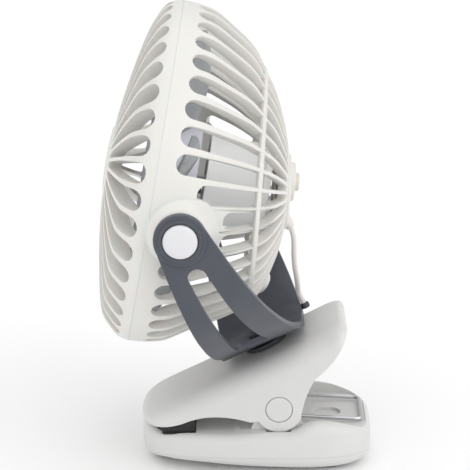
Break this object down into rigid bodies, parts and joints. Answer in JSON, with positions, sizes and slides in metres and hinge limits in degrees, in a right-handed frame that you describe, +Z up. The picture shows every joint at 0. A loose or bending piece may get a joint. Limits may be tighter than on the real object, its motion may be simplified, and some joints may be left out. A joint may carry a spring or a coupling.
{
  "type": "clip fan",
  "caption": "Small rechargeable clip fan: round caged head tilting in a U-shaped yoke that swivels on a spring clip with a flat weighted base.",
  "frame": {"origin": "centre of the clip base's underside, on the surface it stands on", "axes": "+Z up; -Y is the way the fan blows and the clip's nose points; X runs along the tilt pivot and the clip's hinge"},
  "size_m": [0.1696, 0.119, 0.2034],
  "materials": {
    "shell_white": "moulded, satin gloss",
    "cap_white": "moulded, gloss",
    "button_ivory": "moulded, satin",
    "impeller_smoke": "translucent moulded blades",
    "yoke_slate": "moulded, satin",
    "disc_black": "moulded, satin",
    "clip_grey": "moulded, fine satin",
    "pad_rubber": "moulded rubber, matt",
    "spring_wire": "plated spring wire",
    "screw_steel": "zinc plated",
    "motor_steel": "drawn steel can",
    "socket_steel": "stamped",
    "lead_white": "soft PVC jacket",
    "battery_wrap": "shrink film",
    "circuit_board": "solder mask",
    "lamp_lens": "clear"
  },
  "bodies": {
    "base": {"jaw_axle": "screw_steel", "clamp_spring": "spring_wire", "base_top": "clip_grey", "base_bottom": "clip_grey", "base_pad": "pad_rubber", "underside_pad": "pad_rubber", "battery": "battery_wrap", "charge_board": "circuit_board", "usb_socket": "socket_steel", "charge_lamp": "lamp_lens", "base_screw_1": "screw_steel", "base_screw_2": "screw_steel", "base_screw_3": "screw_steel", "base_screw_4": "screw_steel"},
    "jaw": {"upper_jaw": "clip_grey", "jaw_pad": "pad_rubber", "axle_cap_right": "clip_grey", "axle_cap_left": "clip_grey"},
    "yoke": {"yoke": "yoke_slate", "swivel_disc": "disc_black", "swivel_washer": "screw_steel", "swivel_post": "screw_steel", "swivel_nut": "screw_steel", "swivel_cover": "disc_black", "pivot_washer_right": "pad_rubber", "pivot_washer_left": "pad_rubber", "pivot_screw_right": "screw_steel", "pivot_screw_left": "screw_steel", "pivot_cap_right": "cap_white", "pivot_cap_left": "cap_white", "yoke_gland": "disc_black"},
    "head": {"front_grille": "shell_white", "front_cap": "shell_white", "rear_grille": "shell_white", "rear_cap": "shell_white", "switch_board": "circuit_board", "motor_housing": "shell_white", "motor": "motor_steel", "motor_screw_1": "screw_steel", "motor_screw_2": "screw_steel", "head_gland": "shell_white", "power_cable": "lead_white"},
    "rotor": {"impeller": "impeller_smoke", "motor_shaft": "motor_steel"},
    "button": {"power_button": "button_ivory"}
  },
  "joints": [
    {"name": "jaw_clamp", "type": "hinge", "parent": "base", "child": "jaw", "pos_m": [0, 0.0096, 0.0288], "axis": [-1, 0, 0], "range_deg": [0, 28], "stiffness_Nm_per_rad": 0.9, "springref_deg": -20.05, "deforming": ["clamp_spring"]},
    {"name": "yoke_swivel", "type": "hinge", "parent": "jaw", "child": "yoke", "pos_m": [0, 0.0046, 0.0514], "axis": [0, -0.4462, 0.8949], "range_deg": [-170, 170]},
    {"name": "head_tilt", "type": "hinge", "parent": "yoke", "child": "head", "pos_m": [0, -0.0313, 0.12335], "axis": [1, 0, 0], "range_deg": [-45, 60], "deforming": ["power_cable"]},
    {"name": "blade_spin", "type": "hinge", "parent": "head", "child": "rotor", "pos_m": [0, -0.04149, 0.12986], "axis": [0, 0.9857, -0.1685], "continuous": true},
    {"name": "power_press", "type": "slide", "parent": "head", "child": "button", "axis": [0, -0.9976, 0.0696], "range_m": [0, 0.0008], "stiffness_N_per_m": 400}
  ]
}
